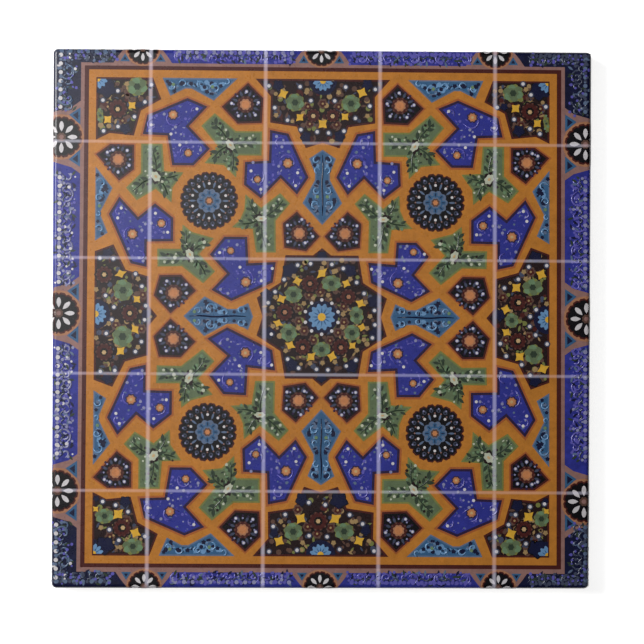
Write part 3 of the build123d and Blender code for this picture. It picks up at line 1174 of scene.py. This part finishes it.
def medallions():
    crumbs()
    for u, v, size, stretch, turn in NAVY_PATCHES:
        ink["black"].press(LEAF, "five", u, v, size, turn, stretch, ONCE)
        ink["navy"].press(FLOWER, "five", u, v, size * 0.88, turn, stretch, ONCE)
    for u, v in BROWN_ROUNDS:
        flower(BROWN_FLOWER, u, v, ways=ONCE)
    for u, v, radius in DARK_FLOWERS:
        flower(DARK_FLOWER, u, v, radius, ONCE)
    for u, v in DARK_FLOWER_HEARTS:
        glaze = "tan" if max(abs(u), abs(v)) < MIDDLE_REACH else "sand"
        ink[glaze].press(HEART, "six", u, v, HEART_RADIUS, ways=ONCE)
    for u, v, wide, high in GREEN_CUPS:
        green_cup(u, v, wide, high)
    for u, v, size, stretch, turn in YELLOW_PETALS:
        ink["yellow"].press(DOT, "four", u, v, size * 1.25, turn + 45, stretch, ONCE)
    for u, v in TAN_BUDS:
        ink["bud"].press(DOT, "five", u, v, TAN_BUD_RADIUS, ways=ONCE)
    for u, v in WHITE_BUDS:
        flower(WHITE_BUD, u, v, ways=ONCE)
    for u, v, size, start, sweep in PALE_FLOWERS:
        pale_flower(u, v, size, start, sweep)
    ink["white"].circle_of(DOT, "dot", 0, 0, 10, 3.45, 0.36, turn=18, ways=ONCE)


def crumbs():
    """Small leaves and stalks strewn between the flowers."""
    top, side = across_u(TOP_HALF), across_v(SIDE_HALF)
    fields = [(across_v(across_u(MEDALLION_QUARTER)), 520, ONCE)]
    fields += [(top, 330, ONCE), (top, 330, ((1, -1),))]
    fields += [(side, 330, ONCE), (side, 330, ((-1, 1),))]
    fields += [(CORNER_PANEL, 200, (way,)) for way in QUARTERS]
    for k, (outline, count, ways) in enumerate(fields):
        strew(outline, CRUMBS, count, CRUMB_SIZES, 60 + k, ways)


def green_cup(u, v, wide, high):
    """A green flower seen from the side: rounded petals about a dark middle, some of them paler."""
    size = min(wide, high)
    ink["moss"].press(LEAF, "eight", u, v, high, 10, wide / high, ONCE)
    for k in range(CUP_PETALS):
        a = math.radians(CUP_TURN + 360 * k / CUP_PETALS)
        petal = (u + (wide - 0.48 * size) * math.cos(a), v + (high - 0.48 * size) * math.sin(a))
        ink["leaf_green" if k % 2 else "green"].press(FLOWER, "round", *petal, size * 0.4, ways=ONCE)
    ink["green"].press(FLOWER, "six", u, v, size * 0.62, ways=ONCE)
    ink["deep_green"].press(DOT, "six", u, v, size * 0.38, ways=ONCE)


def wedge(u, v, radius, start, sweep):
    """The outline of a part of a round."""
    steps = round(2 * sweep / PETAL_ANGLE)
    rim = [polar(u, v, radius, start + sweep * k / steps) for k in range(steps + 1)]
    return rim[:-1] if sweep == 360 else [(u, v), *rim]


def pale_flower(u, v, size, start, sweep):
    """A pale blue flower on navy: a whole one in the middle, and parts of one at the frame."""
    ink["navy"].outline(LEAF, wedge(u, v, NAVY_REACH * math.sqrt(size), start, sweep), ONCE)
    ink["pale_blue"].outline(FLOWER, wedge(u, v, 2.25 * size, start, sweep), ONCE)
    count = round(sweep / PETAL_ANGLE)
    for k in range(count):
        angle = start + (k + 0.5) * PETAL_ANGLE
        petal = polar(u, v, 1.85 * size, angle)
        ink["pale_blue"].press(DOT, "petal", *petal, 0.9 * size, angle - 90, 1.45, ONCE)
        if k < count - 1 or sweep == 360:
            between = angle + PETAL_ANGLE / 2
            gap = polar(u, v, 1.15 * size, between)
            ink["turquoise"].press(HEART, "leaf", *gap, 0.6 * size, between - 90, 0.5, ONCE)
    ink["yellow"].outline(PIP, wedge(u, v, 0.8 * size, start, sweep), ONCE)


frame_and_straps()
panels()
border()
flower(STAR_ROSETTE, *STAR_PLACE)
cobalt_motifs()
kites()
green_motifs()
turquoise_motifs()
medallions()
for film in ink.values():
    film.lay()


# The tile itself


CORNER_U, CORNER_V = 38.0, 38.5  # past both of these the border is navy
PRINT_EDGE = FACE_HEIGHT - EDGE_RADIUS + 0.05
PRINT_BLEED = 0.1  # how the print fades out at its edge
GLAZE_END = SKIRT_HEIGHT - 0.1  # the white glaze ends here at the lowest
GLAZE_RUN, GLAZE_FADE = 0.6, 0.15  # how unevenly it ends, and how softly
COBALT_SHADES, NAVY_SHADES = (0.7, 1.25), (0.6, 1.3)


def tile_body():
    """The pressed tile: glazed white at the sides and bare at the back, its face printed to the edge."""
    recipe = Recipe("glazed_tile")
    cobalt = light_of(*GLAZES["cobalt"])
    navy = light_of(*GLAZES["navy"])
    patches = recipe.noise(1.1, 3.0)
    ground = recipe.mixed(patches, *(shaded(cobalt, shade) for shade in COBALT_SHADES))
    dark = recipe.mixed(patches, *(shaded(navy, shade) for shade in NAVY_SHADES))
    corner = (abs(recipe.u) - CORNER_U).clamped() * (abs(recipe.v) - CORNER_V).clamped()
    face = recipe.mixed(recipe.joints(), recipe.mixed(corner, ground, dark), joint_over(cobalt))
    glaze_white = recipe.mixed(recipe.noise(4.0), *(light_of(*shade) for shade in GLAZE_WHITE))
    biscuit = recipe.mixed(recipe.noise(0.4), *(light_of(*shade) for shade in BISCUIT))
    on_face = ((recipe.z - PRINT_EDGE) / PRINT_BLEED).clamped()
    glaze_end = GLAZE_END + recipe.noise(3.0) * GLAZE_RUN
    on_glaze = ((recipe.z - glaze_end) / GLAZE_FADE).clamped()
    side = recipe.mixed(on_glaze, biscuit, glaze_white)
    return recipe.glazed(recipe.mixed(on_face, side, face))


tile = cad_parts["tile"]
tile.data.materials.clear()
tile.data.materials.append(tile_body())


# Floor, light and camera


FLOOR_SIDE = 4.0
PAPER = (0.9, 0.9, 0.9, 1.0)
PAPER_GLOW = 0.85
BACKDROP = (0.93, 0.93, 0.93, 1.0)
FILL = 0.015
LAMPS = (
    # name, place, width and height in metres, watts
    ("key_light", (-0.30, 0.13, 0.33), (0.22, 0.22), 2.4),
    ("sheen_light", (-0.175, 0.09, 0.50), (0.09, 0.40), 0.34),
)
EYE = (-0.01926, 0.00526, 0.60491)
EYE_TURN = (-0.5556, -1.8386, 0.251)  # degrees
LENS = 167.0
NEAREST = 0.05


def floor_paper():
    """White paper that keeps the tile's shadow, and glows a little for the camera and for reflections."""
    material = bpy.data.materials.new("floor_paper")
    material.use_nodes = True
    nodes = Nodes(material.node_tree)
    seen = nodes.value("LightPath", {}, {}, "Is Camera Ray")
    for ray in ("Is Glossy Ray", "Is Transmission Ray"):
        seen = seen.math("MAXIMUM", nodes.value("LightPath", {}, {}, ray))
    dark = nodes.value("Emission", {}, {"Strength": 0.0})
    glow = nodes.value("Emission", {}, {"Strength": PAPER_GLOW})
    lit = nodes.value("MixShader", {}, {0: seen, 1: dark, 2: glow})
    paper = nodes.value("BsdfDiffuse", {}, {"Color": PAPER})
    nodes.node("OutputMaterial", {}, {"Surface": nodes.value("AddShader", {}, {0: paper, 1: lit})})
    return material


def stage_floor():
    bpy.ops.object.select_all(action="DESELECT")
    bpy.ops.mesh.primitive_plane_add(size=FLOOR_SIDE, location=(0, 0, 0))
    floor = bpy.context.object
    floor.name = "floor"
    floor.data.materials.append(floor_paper())


def lamp(name, place, size, power):
    """A soft box of the given width and height, aimed at the middle of the tile."""
    data = bpy.data.lights.new(name, "AREA")
    data.shape = "RECTANGLE"
    data.size, data.size_y = size
    data.energy = power
    box = bpy.data.objects.new(name, data)
    box.location = place
    box.rotation_euler = (-Vector(place)).to_track_quat("-Z", "Y").to_euler()
    bpy.context.scene.collection.objects.link(box)


def surroundings():
    """A dim room for the light, and a pale backdrop for the camera."""
    world = bpy.data.worlds.new("studio")
    world.use_nodes = True
    nodes = Nodes(world.node_tree)
    camera_ray = nodes.value("LightPath", {}, {}, "Is Camera Ray")
    dim = nodes.value("Background", {}, {"Strength": FILL})
    bright = nodes.value("Background", {}, {"Color": BACKDROP, "Strength": 1.0})
    backdrop = nodes.value("MixShader", {}, {0: camera_ray, 1: dim, 2: bright})
    nodes.node("OutputWorld", {}, {"Surface": backdrop})
    bpy.context.scene.world = world


def camera():
    data = bpy.data.cameras.new("camera")
    data.lens = LENS
    data.clip_start = NEAREST
    eye = bpy.data.objects.new("camera", data)
    eye.location = EYE
    eye.rotation_euler = tuple(math.radians(angle) for angle in EYE_TURN)
    bpy.context.scene.collection.objects.link(eye)
    bpy.context.scene.camera = eye


stage_floor()
for lamp_values in LAMPS:
    lamp(*lamp_values)
surroundings()
camera()
bpy.context.scene.view_settings.view_transform = "Standard"
